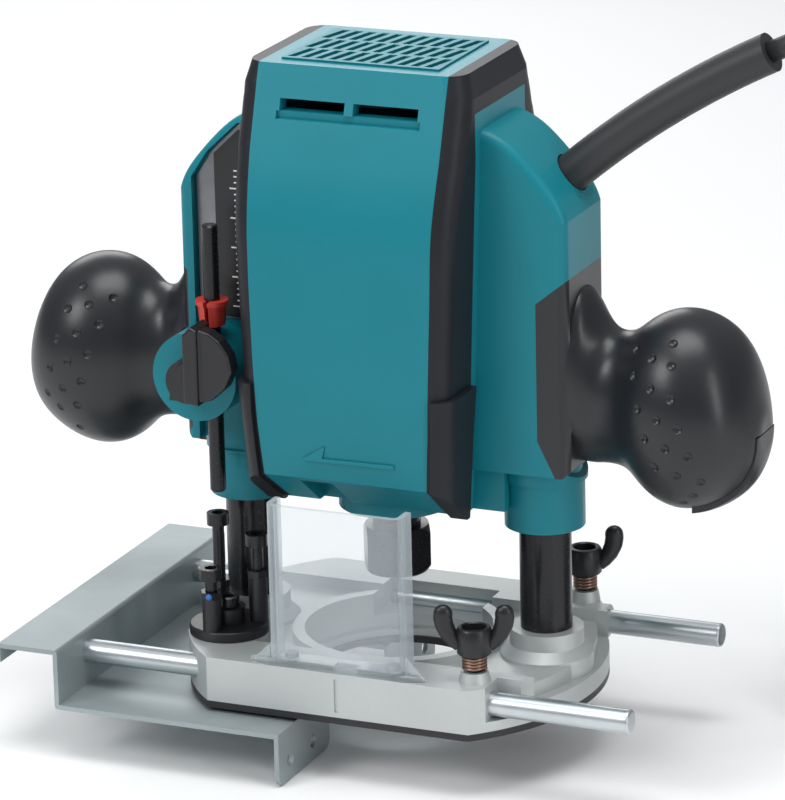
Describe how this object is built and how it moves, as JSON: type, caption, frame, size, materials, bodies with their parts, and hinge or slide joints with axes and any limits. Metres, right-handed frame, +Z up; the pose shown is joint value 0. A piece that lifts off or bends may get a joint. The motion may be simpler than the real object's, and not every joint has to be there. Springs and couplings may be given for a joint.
{
  "type": "plunge router",
  "caption": "Compact plunge router: motor housing with two ball handles sliding on twin columns over a round cast base, stop turret, clear chip guard and straight guide.",
  "frame": {"origin": "on the spindle axis, in the plane of the sole", "axes": "+Z up along the spindle, +X towards the switch handle, -Y is the front with the clear chip guard"},
  "size_m": [0.3427, 0.1922, 0.2542],
  "materials": {
    "teal_plastic": "fine satin grain, moulded",
    "black_rubber": "satin overmoulded grip",
    "black_plastic": "satin",
    "grille_plastic": "satin",
    "cast_aluminium": "blasted casting, machined faces",
    "sole_black": "smooth",
    "black_steel": "black oxide, oiled",
    "zinc_steel": "bright zinc plating",
    "bright_steel": "ground",
    "spring_steel": "drawn wire",
    "copper": "bare",
    "winding": "varnished copper wire",
    "lamination": "stacked plate",
    "bronze": "sintered",
    "carbon": "dense graphite",
    "clear_plastic": "clear moulded",
    "red_plastic": "satin",
    "scale_foil": "brushed foil label plate",
    "cord_rubber": "satin"
  },
  "bodies": {
    "base": {"sole_plate": "sole_black", "sole_screws": "zinc_steel", "base_casting": "cast_aluminium", "column_left": "black_steel", "column_right": "black_steel", "plunge_spring_left": "spring_steel", "plunge_spring_right": "spring_steel", "chip_deflector": "clear_plastic", "deflector_screws": "zinc_steel", "turret_screw": "black_steel", "clamp_springs": "spring_steel", "cord_coil": "cord_rubber", "cord_tail": "cord_rubber", "plug": "cord_rubber"},
    "motor_unit": {"housing_front": "teal_plastic", "housing_rear": "teal_plastic", "bumper_left": "black_rubber", "bumper_right": "black_rubber", "top_vent_grille": "grille_plastic", "column_bushes": "bronze", "handle_left_front": "black_rubber", "handle_left_rear": "black_rubber", "handle_right_front": "black_rubber", "handle_right_rear": "black_rubber", "switch_body": "black_plastic", "trigger_spring": "spring_steel", "lower_bearing": "bright_steel", "upper_bearing": "bright_steel", "fan_baffle": "black_plastic", "field_core": "lamination", "field_coils": "winding", "bearing_bridge": "black_plastic", "brush_holders": "bronze", "carbon_brushes": "carbon", "depth_scale_plate": "scale_foil", "housing_screws": "zinc_steel", "cord_guard": "cord_rubber", "lock_lever_screw": "zinc_steel", "cord_tube": "cord_rubber"},
    "spindle": {"spindle_shaft": "bright_steel", "collet_cone": "bright_steel", "collet_nut": "black_steel", "armature_core": "lamination", "armature_windings": "winding", "commutator": "copper", "cooling_fan": "black_plastic"},
    "trigger": {"switch_trigger": "black_plastic"},
    "depth_rod": {"depth_rod": "black_steel"},
    "pointer": {"depth_pointer": "red_plastic"},
    "clamp_knob": {"depth_clamp_knob": "black_plastic"},
    "lock_lever": {"lock_lever": "black_plastic"},
    "turret": {"stop_turret": "black_plastic", "stop_lock_nuts": "black_steel"},
    "stop_1": {"stop_screw_1": "black_steel"},
    "stop_2": {"stop_screw_2": "black_steel"},
    "stop_3": {"stop_screw_3": "black_steel"},
    "rod_clamp_front": {"clamp_screw_front": "black_plastic"},
    "rod_clamp_rear": {"clamp_screw_rear": "black_plastic"},
    "guide": {"guide_fence": "zinc_steel", "guide_rods": "bright_steel"}
  },
  "joints": [
    {"name": "plunge", "type": "slide", "parent": "base", "child": "motor_unit", "axis": [0, 0, 1], "range_m": [-0.035, 0], "stiffness_N_per_m": 250, "springref_m": 0.16, "deforming": ["plunge_spring_left", "plunge_spring_right", "cord_tube"]},
    {"name": "spindle_spin", "type": "hinge", "parent": "motor_unit", "child": "spindle", "pos_m": [0, 0, 0.07], "axis": [0, 0, 1], "continuous": true},
    {"name": "trigger_press", "type": "slide", "parent": "motor_unit", "child": "trigger", "axis": [-1, 0, 0], "range_m": [0, 0.0035], "stiffness_N_per_m": 1500, "springref_m": -0.002},
    {"name": "depth_rod_slide", "type": "slide", "parent": "motor_unit", "child": "depth_rod", "axis": [0, 0, 1], "range_m": [-0.001, 0.03]},
    {"name": "pointer_slide", "type": "slide", "parent": "depth_rod", "child": "pointer", "axis": [0, 0, 1], "range_m": [0, 0.02]},
    {"name": "depth_clamp_turn", "type": "hinge", "parent": "motor_unit", "child": "clamp_knob", "pos_m": [-0.0575, -0.037, 0.106], "axis": [0, -1, 0], "range_deg": [0, 100]},
    {"name": "lock_lever_turn", "type": "hinge", "parent": "motor_unit", "child": "lock_lever", "pos_m": [-0.053, 0.02, 0.071], "axis": [0, -1, 0], "range_deg": [0, 35]},
    {"name": "turret_turn", "type": "hinge", "parent": "base", "child": "turret", "pos_m": [-0.05, -0.0265, 0.02], "axis": [0, 0, 1], "continuous": true},
    {"name": "rod_clamp_front_turn", "type": "hinge", "parent": "base", "child": "rod_clamp_front", "pos_m": [0.045, -0.0425, 0.03], "axis": [0, 0, 1], "continuous": true},
    {"name": "rod_clamp_rear_turn", "type": "hinge", "parent": "base", "child": "rod_clamp_rear", "pos_m": [0.05, 0.0425, 0.03], "axis": [0, 0, 1], "continuous": true},
    {"name": "guide_slide", "type": "slide", "parent": "base", "child": "guide", "axis": [1, 0, 0], "range_m": [-0.09, 0.02]},
    {"name": "stop_screw_1_turn", "type": "hinge", "parent": "turret", "child": "stop_1", "pos_m": [-0.05656, -0.01895, 0.03], "axis": [0, 0, 1], "continuous": true},
    {"name": "stop_screw_2_turn", "type": "hinge", "parent": "turret", "child": "stop_2", "pos_m": [-0.0406, -0.02308, 0.03], "axis": [0, 0, 1], "continuous": true},
    {"name": "stop_screw_3_turn", "type": "hinge", "parent": "turret", "child": "stop_3", "pos_m": [-0.05139, -0.0364, 0.03], "axis": [0, 0, 1], "continuous": true}
  ]
}
